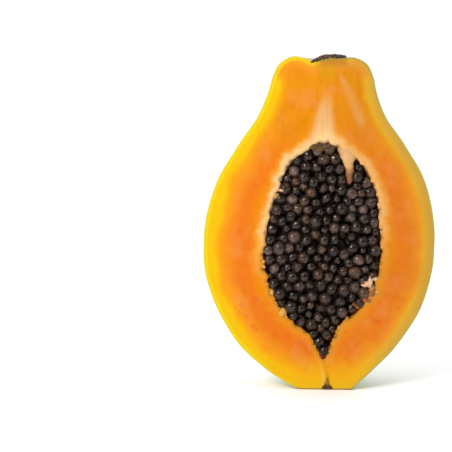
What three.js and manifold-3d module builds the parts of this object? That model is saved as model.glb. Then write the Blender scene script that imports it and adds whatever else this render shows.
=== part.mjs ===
// A ripe papaya halved lengthwise, standing on the flat spot at its blossom end.
// Millimetres. +X runs across the cut face, +Y from the cut face into the fruit, +Z up along the fruit.
// The origin is the middle of the flat spot that the fruit stands on.
import * as THREE from "three";
import { mergeVertices, toCreasedNormals } from "three/addons/utils/BufferGeometryUtils.js";
import Module from "manifold-3d";

const wasm = await Module();
wasm.setup();

// Driving dimensions of the flat spot, and how finely the fruit is faceted
const SPOT_DEPTH = 25; // from the cut face back, far enough to carry the half's weight
const FRUIT_FACETS = { around: 28, steps: 3 }; // round the half's back, and rings between two stations
const CAVITY_FACETS = { around: 15, steps: 2 };

// Stations up the fruit. Each has the outline's left and right in the cut face, [x, z], and its back, [y, z].
const FRUIT_STATIONS = [
  { left: [-12.5, 0], right: [12.1, 0], back: [SPOT_DEPTH, 0] }, // rim of the flat spot
  { left: [-20.6, 4.3], right: [16, 3.9], back: [29.3, 3.4] },
  { left: [-29.1, 9.9], right: [22.3, 9.9], back: [33.6, 9.2] },
  { left: [-41.4, 21.3], right: [32.9, 21.3], back: [39.2, 20.4] },
  { left: [-51.8, 38.3], right: [43.7, 38.3], back: [44, 36.6] },
  { left: [-57.6, 55.3], right: [49.1, 55.3], back: [46.2, 53.4] },
  { left: [-58.4, 69.6], right: [50.4, 70.2], back: [46.2, 69] }, // widest part of the belly
  { left: [-56.8, 84], right: [49.4, 84.4], back: [44, 84] },
  { left: [-51.3, 100.7], right: [45.1, 100.7], back: [38.8, 99.8] },
  { left: [-41, 117.7], right: [35.3, 117.7], back: [31.2, 116.4] },
  { left: [-33.3, 129], right: [27.4, 129], back: [26.2, 128.2] }, // neck
  { left: [-28.1, 140.4], right: [22.8, 140.4], back: [23.4, 139.8] },
  { left: [-25.4, 149.6], right: [21, 148.4], back: [21.2, 148.6] },
  { left: [-22.1, 155], right: [18, 154.2], back: [17.6, 154.2] },
  { left: [-15.7, 157.9], right: [12.8, 157], back: [12.4, 157] }, // crest of the shoulders
  { left: [-6.9, 155.3], right: [8.7, 157.2], back: [7.9, 156] }, // rim of the stem scar
];
const STEM_END = [0.9, 157]; // top of the fruit's axis, [x, z]
const LOBES = 5;
const LOBE_HEIGHT = 0.02; // how far a lobe stands out, as a share of the radius
const SHOULDER_LOBE_GAIN = 0.03; // what the lobes gain towards the stem end

// Stations up the seed cavity, as for the fruit
const CAVITY_TIP = [-1.3, 14.9];
const CAVITY_TOP = [0.3, 118.4];
const CAVITY_STATIONS = [
  { left: [-3.6, 17.6], right: [1.1, 17.4], back: [2.6, 17.6] },
  { left: [-5.6, 21], right: [3, 21.4], back: [5.2, 21] },
  { left: [-8.3, 25.8], right: [4.6, 26.4], back: [9, 25.6] },
  { left: [-14.5, 30.7], right: [7.4, 31], back: [13.2, 30.4] },
  { left: [-20.6, 36.4], right: [13.2, 36.2], back: [17.2, 36] },
  { left: [-25.6, 44], right: [20.4, 43.4], back: [20.6, 43.6] },
  { left: [-28.9, 53.6], right: [24.7, 53.8], back: [22.6, 53.6] },
  { left: [-30.2, 65.4], right: [25.7, 66], back: [23.2, 65.6] },
  { left: [-28.8, 78], right: [25.2, 79.6], back: [22.2, 78.8] },
  { left: [-25.8, 88.4], right: [23.9, 90.6], back: [19.8, 89.4] },
  { left: [-22.3, 99], right: [20.6, 101], back: [15.8, 99.8] },
  { left: [-16.8, 109.4], right: [14.4, 109.8], back: [10.4, 109.4] },
  { left: [-9.6, 114.8], right: [8.4, 114.4], back: [6.2, 114.6] },
];

// A flap of pith that hangs into the seeds from the top right of the cavity, drawn in the cut face
const FLAP_OUTLINE = [
  [4.2, 120], [5.7, 114], [7.2, 110], [9, 106], [10, 102], [10.5, 98.3],
  [11.2, 102], [11.8, 106.6], [14.2, 110.8], [15.2, 116],
];
const FLAP_DEPTH = 7;
const FLAP_BEVEL = 0.5;
const FLAP_FRONT = 0.2; // how far behind the cut it starts

// Nubs of pulp on the edge of the cavity: x, z and radius
const NUBS = [
  [-26.1, 46.4, 1.5], [-21, 36.4, 2.2], [21.6, 43, 2.9], [24.2, 46.6, 1.7], [6.6, 29, 1.5], [10, 33.4, 1.2],
];
const NUB_STRETCH = [1, 0.8, 1.15];
const NUB_DEPTH = 1.5; // how far behind the cut face their middles lie
const NUB_FRONT = 0.2;
const NUB_OVERLAP = 0.8; // how far a seed may come over a nub

// Seeds and the packed pulp that they stand in
const SEED_RADII = [2.85, 2.5, 2.6]; // half axes of one seed, mean
const SEED_FACETS = [6, 4]; // round a seed, and from end to end
const SEED_SMALLEST = 0.82; // of the mean size
const SEED_LARGEST = 1.12;
const SEED_PITCH = 5.5;
const SEED_JITTER = 5.5;
const SEED_COLUMNS = 7; // on each side of the middle, enough to reach past the walls
const SEED_DRAW = 7; // picks the random draw
const SEED_APART = 5.35; // least distance between the middles of two seeds of mean size
const SEED_WALL_GAP = 0.45;
const SEED_WALL_SHARE = 0.8; // a seed nearer to the wall than this share of its radius is left out
const SEED_ROOT = 0.5; // how deep the foremost seeds stand in the packed pulp
const SEED_DEPTH_SPREAD = 2.8; // how much further back a seed may lie
const SEED_DEPTH_SHARE = 0.4; // of the cavity's depth, at most
const CORE_FRONT = 3.2; // depth of the packed pulp's face
const CORE_INSET = 1.1; // from the cavity's wall
const RELAX_STEPS = 40;
const RELAX_SHARE = 0.6;
const PIECE_GAP = 0.35; // air between two pieces that touch

// Scars at the two ends
const CRUST_THICKNESS = 2;
const CRUST_RINGS = [[0.92, 0.35], [0.97, 0.9], [0.86, 1.5], [0.5, 1.9]]; // share of its radius, height
const CRUST_AROUND = 14;
const PIT_X = 0.7;
const PIT_PROFILE = [[0, -1], [3, -1], [2.6, 0.5], [1.5, 1.9], [0.8, 3.4], [0.6, 5], [0, 6.4]];
const PIT_SIDES = 16;

const BIG = 400; // longer than the fruit
const LEAST_RADIUS = 0.3; // of a ring that is drawn in
const MERGE_TOLERANCE = 1e-3;
const CREASE_DEGREES = 35;

const finish = (color, roughness) => new THREE.MeshStandardMaterial({ color, roughness, metalness: 0 });
const SKIN = finish("#8fa63a", 0.35);
const FLESH = finish("#f29a2e", 0.45);
const SEEDS = finish("#2c2422", 0.3);
const CORK = finish("#4a2c18", 0.85);

// A centripetal spline through one column of the stations, sampled ring by ring
function sampleColumn(stations, column, steps) {
  const points = stations.map((s) => new THREE.Vector3(s[column][0], 0, s[column][1]));
  const curve = new THREE.CatmullRomCurve3(points, false, "centripetal");
  return curve.getPoints((stations.length - 1) * steps);
}

// One closed ring round the fruit. Its left and right points lie in the cut face.
function ring(left, right, back, around, lobe = 0) {
  const middle = (left.x + right.x) / 2;
  const halfWidth = (right.x - left.x) / 2;
  const points = [];
  for (let i = 0; i < 2 * around; i++) {
    const angle = (Math.PI * i) / around;
    const cos = Math.cos(angle);
    const sin = Math.sin(angle);
    const side = cos > 0 ? right.z : left.z;
    const bulge = 1 + lobe * sin * sin * Math.cos(LOBES * (angle - Math.PI / 2));
    const x = middle + halfWidth * cos * bulge;
    points.push(new THREE.Vector3(x, back.x * sin * bulge, back.z * sin * sin + side * cos * cos));
  }
  return points;
}

// The closed surface through the rings, with a point at each end
function loft(first, rings, last) {
  const size = rings[0].length;
  const points = [first, ...rings.flat(), last];
  const index = [];
  for (let j = 0; j < size; j++) {
    const next = (j + 1) % size;
    index.push(0, 1 + next, 1 + j);
    for (let i = 0; i + 1 < rings.length; i++) {
      const low = 1 + i * size;
      const high = low + size;
      index.push(low + j, low + next, high + next, low + j, high + next, high + j);
    }
    const top = 1 + (rings.length - 1) * size;
    index.push(top + j, top + next, points.length - 1);
  }
  return new THREE.BufferGeometry().setFromPoints(points).setIndex(index);
}

// Rings through a list of stations
function ringsOf(stations, { around, steps }, lobeAt = () => 0) {
  const columns = ["left", "right", "back"];
  const [left, right, back] = columns.map((column) => sampleColumn(stations, column, steps));
  return left.map((point, i) => ring(point, right[i], back[i], around, lobeAt(i / (left.length - 1))));
}

// A closed geometry as a solid that can be joined and cut
function solidOf(geometry) {
  const bare = geometry.clone();
  bare.deleteAttribute("normal");
  bare.deleteAttribute("uv");
  const merged = mergeVertices(bare, MERGE_TOLERANCE);
  const triVerts = new Uint32Array(merged.index.array);
  const vertProperties = merged.attributes.position.array;
  return new wasm.Manifold(new wasm.Mesh({ numProp: 3, vertProperties, triVerts }));
}

// A solid as a named mesh. Faces that come from the solid numbered outsideId take the first material.
function meshOf(solid, name, materials, outsideId) {
  const { vertProperties, triVerts, runIndex, runOriginalID } = solid.getMesh();
  const geometry = new THREE.BufferGeometry();
  geometry.setAttribute("position", new THREE.BufferAttribute(new Float32Array(vertProperties), 3));
  geometry.setIndex(new THREE.BufferAttribute(new Uint32Array(triVerts), 1));
  if (materials.length > 1) {
    runOriginalID.forEach((id, run) => {
      geometry.addGroup(runIndex[run], runIndex[run + 1] - runIndex[run], id === outsideId ? 0 : 1);
    });
  }
  const mesh = new THREE.Mesh(
    toCreasedNormals(geometry, THREE.MathUtils.degToRad(CREASE_DEGREES)),
    materials.length > 1 ? materials : materials[0],
  );
  mesh.name = name;
  return mesh;
}

// Everything in front of the knife's cut
function inFrontOfCut(depth = 0) {
  return solidOf(new THREE.BoxGeometry(BIG, BIG, BIG).translate(0, depth - BIG / 2, 0));
}

function wholeFruit() {
  const lobeAt = (share) => LOBE_HEIGHT + SHOULDER_LOBE_GAIN * share * share;
  const rings = ringsOf(FRUIT_STATIONS, FRUIT_FACETS, lobeAt);
  return solidOf(loft(new THREE.Vector3(0, 0, 0), rings, new THREE.Vector3(STEM_END[0], 0, STEM_END[1])));
}

// The seed cavity, or the same space drawn in by an inset on every side
function cavity(inset = 0) {
  const grow = (point, centre) => {
    const away = point - centre;
    return centre + Math.sign(away) * Math.max(LEAST_RADIUS, Math.abs(away) - inset);
  };
  const middle = (s) => (s.left[0] + s.right[0]) / 2;
  const stations = CAVITY_STATIONS.map((s) => ({
    left: [grow(s.left[0], middle(s)), s.left[1]],
    right: [grow(s.right[0], middle(s)), s.right[1]],
    back: [Math.max(LEAST_RADIUS, s.back[0] - inset), s.back[1]],
  }));
  const tip = new THREE.Vector3(CAVITY_TIP[0], 0, CAVITY_TIP[1] + inset);
  const top = new THREE.Vector3(CAVITY_TOP[0], 0, CAVITY_TOP[1] - inset);
  return solidOf(loft(tip, ringsOf(stations, CAVITY_FACETS), top));
}

// The flap of pith, grown on every side by a margin
function flap(margin = 0) {
  const outline = new THREE.Shape(FLAP_OUTLINE.map(([x, z]) => new THREE.Vector2(x, z)));
  const geometry = new THREE.ExtrudeGeometry(outline, {
    depth: FLAP_DEPTH,
    bevelThickness: FLAP_BEVEL + margin,
    bevelSize: FLAP_BEVEL + margin,
    bevelSegments: 1,
  });
  // Drawn flat, the outline is turned upright, and its depth runs into the fruit.
  return solidOf(geometry.rotateX(Math.PI / 2).translate(0, FLAP_DEPTH + FLAP_BEVEL + FLAP_FRONT, 0));
}

function nub([x, z, radius], margin = 0) {
  const shape = new THREE.IcosahedronGeometry(radius + margin, 1).scale(...NUB_STRETCH);
  return solidOf(shape.translate(x, NUB_DEPTH, z));
}

// A profile of radii and heights turned about the middle of the blossom end
function turned(profile) {
  const points = profile.map(([r, z]) => new THREE.Vector2(r, z));
  const geometry = new THREE.LatheGeometry(points, PIT_SIDES);
  return solidOf(geometry.rotateX(Math.PI / 2).translate(PIT_X, 0, 0));
}

// A repeatable random number generator, so that the seeds fall the same way each time
function makeRandom(state) {
  return () => {
    state = (state + 0x6d2b79f5) | 0;
    let t = Math.imul(state ^ (state >>> 15), 1 | state);
    t = (t + Math.imul(t ^ (t >>> 7), 61 | t)) ^ t;
    return ((t ^ (t >>> 14)) >>> 0) / 4294967296;
  };
}

// The nearest point on an outline, as a unit vector away from it and a distance, negative outside the outline
function wallAt(x, z, outline) {
  let best = Infinity;
  let inside = false;
  let nearest;
  outline.forEach(([ax, az], i) => {
    const [bx, bz] = outline[(i + 1) % outline.length];
    const along = ((x - ax) * (bx - ax) + (z - az) * (bz - az)) / ((bx - ax) ** 2 + (bz - az) ** 2);
    const t = Math.min(1, Math.max(0, along));
    const point = [ax + t * (bx - ax), az + t * (bz - az)];
    const distance = Math.hypot(x - point[0], z - point[1]);
    if (distance < best) {
      best = distance;
      nearest = point;
    }
    if (az > z !== bz > z && x < ((bx - ax) * (z - az)) / (bz - az) + ax) inside = !inside;
  });
  const side = inside ? 1 : -1;
  return { distance: side * best, x: (side * (x - nearest[0])) / best, z: (side * (z - nearest[1])) / best };
}

// Seeds in a jittered close packing, pushed apart and off the walls until they fit
function placeSeeds() {
  const random = makeRandom(SEED_DRAW);
  const [left, right, back] = ["left", "right", "back"].map((column) =>
    sampleColumn(CAVITY_STATIONS, column, CAVITY_FACETS.steps).map((point) => [point.x, point.z]),
  );
  const outline = [CAVITY_TIP, ...right, CAVITY_TOP, ...left.reverse()];
  const depthAt = (z) => back.reduce((near, p) => (Math.abs(p[1] - z) < Math.abs(near[1] - z) ? p : near))[0];
  const seeds = [];
  const rows = Math.ceil((CAVITY_TOP[1] - CAVITY_TIP[1]) / (SEED_PITCH * Math.sin(Math.PI / 3)));
  for (let row = 0; row < rows; row++) {
    for (let column = -SEED_COLUMNS; column <= SEED_COLUMNS; column++) {
      const x = (column + (row % 2) / 2) * SEED_PITCH + (random() - 0.5) * SEED_JITTER;
      const z = CAVITY_TIP[1] + row * SEED_PITCH * Math.sin(Math.PI / 3) + (random() - 0.5) * SEED_JITTER;
      const size = SEED_SMALLEST + (SEED_LARGEST - SEED_SMALLEST) * random();
      const depth = CORE_FRONT + SEED_ROOT - SEED_RADII[1] * size + SEED_DEPTH_SPREAD * random();
      const turn = [random(), random(), random()].map((share) => share * Math.PI);
      if (wallAt(x, z, outline).distance > 0) {
        seeds.push({ x, z, y: Math.min(depth, SEED_DEPTH_SHARE * depthAt(z)), size, turn });
      }
    }
  }
  const push = (seed) => {
    let [dx, dz] = [0, 0];
    const move = (amount, ux, uz) => {
      if (amount > 0) {
        dx += amount * ux;
        dz += amount * uz;
      }
    };
    for (const other of seeds) {
      if (other === seed) continue;
      const least = (SEED_APART * (seed.size + other.size)) / 2;
      const beside = Math.sqrt(Math.max(0, least ** 2 - (seed.y - other.y) ** 2));
      const apart = Math.hypot(seed.x - other.x, seed.z - other.z);
      move((beside - apart) / 2, (seed.x - other.x) / apart, (seed.z - other.z) / apart);
    }
    const room = SEED_RADII[1] * seed.size + SEED_WALL_GAP;
    const wall = wallAt(seed.x, seed.z, outline);
    move(room - wall.distance, wall.x, wall.z);
    const pith = wallAt(seed.x, seed.z, FLAP_OUTLINE);
    move(room + FLAP_BEVEL + pith.distance, -pith.x, -pith.z);
    for (const [x, z, radius] of NUBS) {
      const apart = Math.hypot(seed.x - x, seed.z - z);
      move(room + radius - NUB_OVERLAP - apart, (seed.x - x) / apart, (seed.z - z) / apart);
    }
    return [dx, dz];
  };
  for (let step = 0; step < RELAX_STEPS; step++) {
    const moves = seeds.map(push);
    seeds.forEach((seed, i) => {
      seed.x += RELAX_SHARE * moves[i][0];
      seed.z += RELAX_SHARE * moves[i][1];
    });
  }
  const least = SEED_RADII[1] * SEED_WALL_SHARE;
  return seeds.filter((seed) => wallAt(seed.x, seed.z, outline).distance > least * seed.size);
}

function seedSolid({ x, y, z, size, turn }) {
  const shape = new THREE.SphereGeometry(1, ...SEED_FACETS).scale(...SEED_RADII.map((r) => r * size));
  shape.rotateX(turn[0]).rotateY(turn[1]).rotateZ(turn[2]);
  return solidOf(shape.translate(x, y, z));
}

// Flesh and skin, which are one body
function fruitHalf() {
  const whole = wholeFruit().asOriginal();
  const half = whole.subtract(inFrontOfCut()).subtract(cavity());
  const pith = [flap(), ...NUBS.map((values) => nub(values))].map((s) => s.subtract(inFrontOfCut(NUB_FRONT)));
  const solid = wasm.Manifold.union([half, ...pith]).subtract(turned(PIT_PROFILE));
  return meshOf(solid, "fruit_half", [SKIN, FLESH], whole.originalID());
}

// The seeds, held together by the packed pulp behind them
function seedMass() {
  const core = cavity(CORE_INSET).subtract(inFrontOfCut(CORE_FRONT));
  const mass = wasm.Manifold.union([core, ...placeSeeds().map(seedSolid)]);
  const obstacles = [flap(PIECE_GAP), ...NUBS.map((values) => nub(values, PIECE_GAP))];
  const fitted = mass.intersect(cavity(PIECE_GAP)).subtract(wasm.Manifold.union(obstacles));
  return meshOf(fitted, "seed_mass", [SEEDS]);
}

// The corky crust where the stalk broke away, lying on the top of the fruit
function stemScar() {
  const rim = FRUIT_STATIONS[FRUIT_STATIONS.length - 1];
  const [middle, top] = STEM_END;
  const ringAt = ([share, height]) => {
    const heightAt = (z) => top + share * (z - top) + height;
    const point = ([out, z], from) => new THREE.Vector3(from + share * (out - from), 0, heightAt(z));
    return ring(point(rim.left, middle), point(rim.right, middle), point(rim.back, 0), CRUST_AROUND);
  };
  const end = (height) => new THREE.Vector3(middle, 0, top + height);
  const crust = loft(end(PIECE_GAP), CRUST_RINGS.map(ringAt), end(CRUST_THICKNESS));
  return meshOf(solidOf(crust).subtract(inFrontOfCut()), "stem_scar", [CORK]);
}

// The dry remnant of the flower, which fills the pit at the blossom end
function blossomScar() {
  const inner = PIT_PROFILE.slice(2, -1).map(([radius, z]) => [radius - PIECE_GAP, z]);
  const [, lowest] = inner[0];
  const [, highest] = inner[inner.length - 1];
  const profile = [[0, lowest], ...inner, [0, highest + PIECE_GAP]];
  return meshOf(turned(profile).subtract(inFrontOfCut()), "blossom_scar", [CORK]);
}

const papaya = new THREE.Group();
papaya.add(fruitHalf(), seedMass(), stemScar(), blossomScar());
papaya.position.y = -SPOT_DEPTH / 2;

export default papaya;
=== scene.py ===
"""A ripe papaya halved lengthwise, standing on its blossom end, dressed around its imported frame."""

import math

import bmesh
import bpy
import numpy as np
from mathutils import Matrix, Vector, noise


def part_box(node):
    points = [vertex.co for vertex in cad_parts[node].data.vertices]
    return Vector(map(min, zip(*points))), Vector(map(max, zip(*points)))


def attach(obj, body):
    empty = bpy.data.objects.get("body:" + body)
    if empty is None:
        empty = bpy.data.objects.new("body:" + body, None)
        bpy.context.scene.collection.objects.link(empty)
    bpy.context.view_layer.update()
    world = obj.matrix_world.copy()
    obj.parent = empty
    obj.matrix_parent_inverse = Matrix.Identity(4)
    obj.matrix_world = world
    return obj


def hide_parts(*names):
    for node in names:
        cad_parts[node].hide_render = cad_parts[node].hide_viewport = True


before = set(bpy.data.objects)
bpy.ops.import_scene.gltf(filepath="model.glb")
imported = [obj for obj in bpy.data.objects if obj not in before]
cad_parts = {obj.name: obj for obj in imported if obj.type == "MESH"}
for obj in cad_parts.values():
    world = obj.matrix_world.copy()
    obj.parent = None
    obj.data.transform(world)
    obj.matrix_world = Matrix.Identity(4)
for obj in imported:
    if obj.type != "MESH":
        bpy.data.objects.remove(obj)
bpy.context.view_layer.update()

# The fruit's shape in millimetres, with the cut face at y = 0 and the fruit behind it, as in the frame
MM = 0.001
CUT_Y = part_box("fruit_half")[0].y / MM
STATIONS = {
    "left": [
        (-12.5, 0), (-20.6, 4.3), (-29.1, 9.9), (-41.4, 21.3), (-51.8, 38.3), (-57.6, 55.3),
        (-58.4, 69.6), (-56.8, 84), (-51.3, 100.7), (-41, 117.7), (-33.3, 129), (-28.1, 140.4),
        (-25.4, 149.6), (-22.1, 155), (-15.7, 157.9), (-6.9, 155.3),
    ],
    "right": [
        (12.1, 0), (16, 3.9), (22.3, 9.9), (32.9, 21.3), (43.7, 38.3), (49.1, 55.3), (50.4, 70.2),
        (49.4, 84.4), (45.1, 100.7), (35.3, 117.7), (27.4, 129), (22.8, 140.4), (21, 148.4), (18, 154.2),
        (12.8, 157), (8.7, 157.2),
    ],
    "back": [
        (25, 0), (29.3, 3.4), (33.6, 9.2), (39.2, 20.4), (44, 36.6), (46.2, 53.4), (46.2, 69),
        (44, 84), (38.8, 99.8), (31.2, 116.4), (26.2, 128.2), (23.4, 139.8), (21.2, 148.6), (17.6, 154.2),
        (12.4, 157), (7.9, 156),
    ],
}
FOOT = (0, 0)
STEM_END = (0.9, 157)
LOBES = 5
LOBE_HEIGHT = 0.02
SHOULDER_LOBE_GAIN = 0.03
CAVITY = {
    "left": [
        (-3.6, 17.6), (-5.6, 21), (-8.3, 25.8), (-14.5, 30.7), (-20.6, 36.4), (-25.6, 44), (-28.9, 53.6),
        (-30.2, 65.4), (-28.8, 78), (-25.8, 88.4), (-22.3, 99), (-16.8, 109.4), (-9.6, 114.8),
    ],
    "right": [
        (1.1, 17.4), (3, 21.4), (4.6, 26.4), (7.4, 31), (13.2, 36.2), (20.4, 43.4), (24.7, 53.8),
        (25.7, 66), (25.2, 79.6), (23.9, 90.6), (20.6, 101), (14.4, 109.8), (8.4, 114.4),
    ],
    "back": [
        (2.6, 17.6), (5.2, 21), (9, 25.6), (13.2, 30.4), (17.2, 36), (20.6, 43.6), (22.6, 53.6),
        (23.2, 65.6), (22.2, 78.8), (19.8, 89.4), (15.8, 99.8), (10.4, 109.4), (6.2, 114.6),
    ],
}
CAVITY_TIP = (-1.3, 14.9)
CAVITY_TOP = (0.3, 118.4)

# The outline of the flap of pith in the cavity, and nubs of pulp on its edge: x, z and radius
FLAP = [
    (4.2, 120), (5.7, 114), (7.2, 110), (9, 106), (10, 102), (10.5, 98.3),
    (11.2, 102), (11.8, 106.6), (14.2, 110.8), (15.2, 116),
]
FLAP_BEVEL = 0.5
NUBS = [
    (-26.1, 46.4, 1.5), (-21, 36.4, 2.2), (21.6, 43, 2.9), (24.2, 46.6, 1.7), (6.6, 29, 1.5),
    (10, 33.4, 1.2),
]

# Seeds, placed as in the frame. Their backs lie SEED_BACK behind the cut, or up to the spread further.
SEED_RADII = (2.85, 2.5, 2.6)
SEED_SMALLEST = 0.82
SEED_LARGEST = 1.12
SEED_PITCH = 5.5
SEED_JITTER = 5.5
SEED_COLUMNS = 7
SEED_DRAW = 7
SEED_APART = 5.35
SEED_WALL_GAP = 0.45
SEED_WALL_SHARE = 0.8
SEED_BACK = 3.7
SEED_DEPTH_SPREAD = 2.8
SEED_DEPTH_SHARE = 0.4
NUB_OVERLAP = 0.8
RELAX_STEPS = 40
RELAX_SHARE = 0.6

# How finely the pieces are modelled
DENSE = 600
ROWS = 240
BACK_COLUMNS = 96
WALL_COLUMNS = 48
FACE_STEPS = 40
OUTLINE_POINTS = 60
BED_COLUMNS = 30
FLAP_ROWS = 40
FLAP_SIDES = 24
TURNED_COLUMNS = 49
CREASE = math.radians(55)

# Skin and flesh, with each noise as its heights and sizes. The cut face rolls in by LIP at the cavity.
# For the colours, points behind the cut count as FAR from its other edge.
SKIN_THICKNESS = 0.7
SKIN_NOISE = ((0.12, 9),)
FLESH_INSET = 0.45
FACE_INSET = 0.06
FACE_NOISE = ((0.22, 13), (0.1, 4), (0.05, 1.5))
FACE_DEPTH = 0.12
FACE_RIM = 2.5
LIP = 1.1
LIP_WIDTH = 1.6 * LIP
LIP_DEPTH = 2
WALL_NOISE = ((1.5, 2.2), (1.4, 5.5))
RAGGED_DEPTH = 2.5
FAR = 25

# Pale marks in the cut face, as middles and half widths by height: pith over the cavity, a wedge
# under the stem and a streak beside the pith
COLUMN_MIDDLES = ((116, 133, 142), (-2.2, -1.4, 0.4))
COLUMN_WIDTHS = ((116, 120, 124, 128, 133, 138, 144, 150), (9, 6.6, 5.2, 4.5, 3.6, 2.7, 1.9, 1.2))
WEDGE_MIDDLE = (-0.6, 151.5)
WEDGE_WIDTHS = ((145, 156), (3, 8))
WEDGE_HEIGHT = 7
STREAK_MIDDLES = ((126, 132, 141, 149), (15.6, 13.9, 9.7, 5.8))
STREAK_WIDTHS = ((126, 132, 141, 149), (3.2, 3.6, 4, 1.8))

# The pit at the blossom end: heights and radii, and the dry remnant of the flower in it
PIT_X = 0.7
PIT_HEIGHTS = (-1, 0.5, 1.9, 3.4, 5, 6.4)
PIT_RADII = (3, 2.6, 1.5, 0.8, 0.6, 0)
REMNANT_HEIGHTS = (0.8, 0.85, 1.6, 2.2, 3.6, 5.9)
REMNANT_RADII = (0, 2.35, 1.75, 1, 0.5, 0)

# The crust over the stem scar: shares of its rim's radius, heights, and how far its left end droops
CRUST_SHARES = (0, 0.7, 0.92, 0.99, 0.95, 0.84, 0.62, 0.5, 0.3, 0)
CRUST_HEIGHTS = (0, 0, 0.2, 0.7, 1.15, 1.5, 1.6, 1.6, 1.8, 1.65)
CRUST_OVERHANG = 1.2
CRUST_DROP = 0.9
CRUST_BUMPS = 0.3
CRUST_ROWS = 60
REMNANT_BUMPS = 0.1
REMNANT_ROWS = 30
SCAR_BUMP_SIZE = 1.6
TOP_FADE = 2.2

# The dark pulp behind the seeds, and the second layer of seeds: ranges of place and size, and gaps
BED_INSET = 0.6
BED_FRONT = 6.2
BED_LEAST_DEPTH = 1
BED_NOISE = ((0.9, 3.2),)
BACK_SEEDS = 150
BACK_SEED_TRIES = 20 * BACK_SEEDS
BACK_SEED_X = (-30, 26)
BACK_SEED_Z = (18, 116)
BACK_SEED_SIZES = (0.85, 1.1)
BACK_SEED_DEPTH = 5.6
BACK_SEED_DEPTH_SPREAD = 1.2
BACK_SEED_APART = 4.4
BACK_SEED_WALL_GAP = 2.4

# Each seed's dark core and clear coat, as shares of its radii, and how deep their wrinkles are
CORE_SHARE = 0.74
BACK_CORE_SHARE = 0.8
COAT_SHARE = 1.04
CORE_WRINKLE = 0.06
COAT_WRINKLE = 0.03
WRINKLE_SIZE = 0.9
LUMP_SPLITS = 3

# Pulp and pith round the seeds. Lumps are the share by which noise moves a surface, and its size.
FLAP_FRONT = 0.35
FLAP_TIP = 1.9
FLAP_TIP_ROUNDING = 0.96
FLAP_DEPTH = 6.5
FLAP_THINNING = 0.6
FLAP_LEAN = 0.9
FLAP_NOISE = ((0.55, 2.2), (0.25, 0.9))
NUB_DEPTH = 1.9
NUB_ROOT = 0.3
NUB_FRONT = 0.25
NUB_STRETCH = (1, 0.8, 1.15)
NUB_LUMPS = (0.4, 0.8)
BROWN_PULP = (-3.4, 0.5, 115.6)
BROWN_PULP_RADII = (4.7, 1.8, 1.9)
BROWN_PULP_LUMPS = (0.35, 0.5)
BROWN_PULP_SPLITS = 5
SMALL_NUBS = 26
SMALL_NUB_RADII = (0.3, 0.9)
PALE_NUB = (-23.6, 92.2, 1.5)

# Scraps of pulp that lie on the seeds: x, z and their radii in both directions
SCRAPS = [
    (-21.5, 95.2, 1.4, 0.6), (18.4, 51, 2.2, 1.6), (20.5, 51.6, 1.2, 2.7), (22.8, 53.2, 1.5, 1.2),
    (21.4, 48.4, 1.6, 2.4), (20.8, 45.4, 2, 1.6), (18.6, 43.6, 2.1, 1.6), (16.2, 42.4, 2.1, 1.5),
    (14, 41, 1.7, 1.2), (15.8, 40, 2, 1.4), (12.6, 38, 1.7, 1.3), (-1.9, 16.4, 1.9, 1.6),
]
SCRAP_DEPTH = 1.1
SCRAP_FRONT = -0.9
SCRAP_SINK = 0.7
SCRAP_REACH = 4
SCRAP_LUMPS = (0.45, 0.7)
LOW_SCRAP = 46
LOW_SCRAP_SINK = 1.2

# How much brighter than its own colour a surface shows in the cut face, in this studio light
LIGHT = 1.43


def srgb(red, green, blue):
    """A colour given as 0 to 255 on the screen, as Blender's linear values"""
    screen = np.array([red, green, blue]) / 255
    linear = np.where(screen <= 0.04045, screen / 12.92, ((screen + 0.055) / 1.055) ** 2.4)
    return (*linear.tolist(), 1.0)


def shown(red, green, blue):
    """The surface colour that shows as the given one, 0 to 255, under the studio light"""
    return (*(value / LIGHT for value in srgb(red, green, blue)[:3]), 1.0)


def smooth(low, high, value):
    """A smooth step from 0 to 1"""
    t = np.clip((value - low) / (high - low), 0, 1)
    return t * t * (3 - 2 * t)


def between(low, high, share):
    """The value at a share of the way from low to high"""
    return low + (high - low) * share


def spline(points, share):
    """A centripetal spline through the points, at shares of its stretches from 0 to 1"""
    points = np.array(points, float)
    points = np.vstack([2 * points[0] - points[1], points, 2 * points[-1] - points[-2]])
    place = np.clip(share, 0, 1) * (len(points) - 3)
    start = np.minimum(place.astype(int), len(points) - 4)
    t = (place - start)[:, None]
    a, b, c, d = (points[start + step] for step in range(4))
    gap_a, gap_b, gap_c = (
        np.sqrt(np.linalg.norm(end - begin, axis=1))[:, None] for begin, end in ((a, b), (b, c), (c, d))
    )
    slope_b = ((b - a) / gap_a - (c - a) / (gap_a + gap_b) + (c - b) / gap_b) * gap_b
    slope_c = ((c - b) / gap_b - (d - b) / (gap_b + gap_c) + (d - c) / gap_c) * gap_b
    square = 3 * (c - b) - 2 * slope_b - slope_c
    cube = 2 * (b - c) + slope_b + slope_c
    return b + slope_b * t + square * t**2 + cube * t**3


def rows_of(stations, foot, head, count):
    """Rows up a loft, evenly spaced: left x and z, right x and z, back y and z, and share of the height"""
    share = np.linspace(0, 1, DENSE)
    table = np.column_stack([*(spline(stations[side], share) for side in stations), share])
    first = [*foot, *foot, 0, foot[1], 0]
    last = [*head, *head, 0, head[1], 1]
    table = np.vstack([first, table, last])
    steps = sum(np.linalg.norm(np.diff(table[:, k:k + 2], axis=0), axis=1) for k in (0, 2)) / 2
    lengths = np.concatenate([[0], np.cumsum(steps)])
    even = np.linspace(0, lengths[-1], count)
    return np.column_stack([np.interp(even, lengths, column) for column in table.T])


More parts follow.
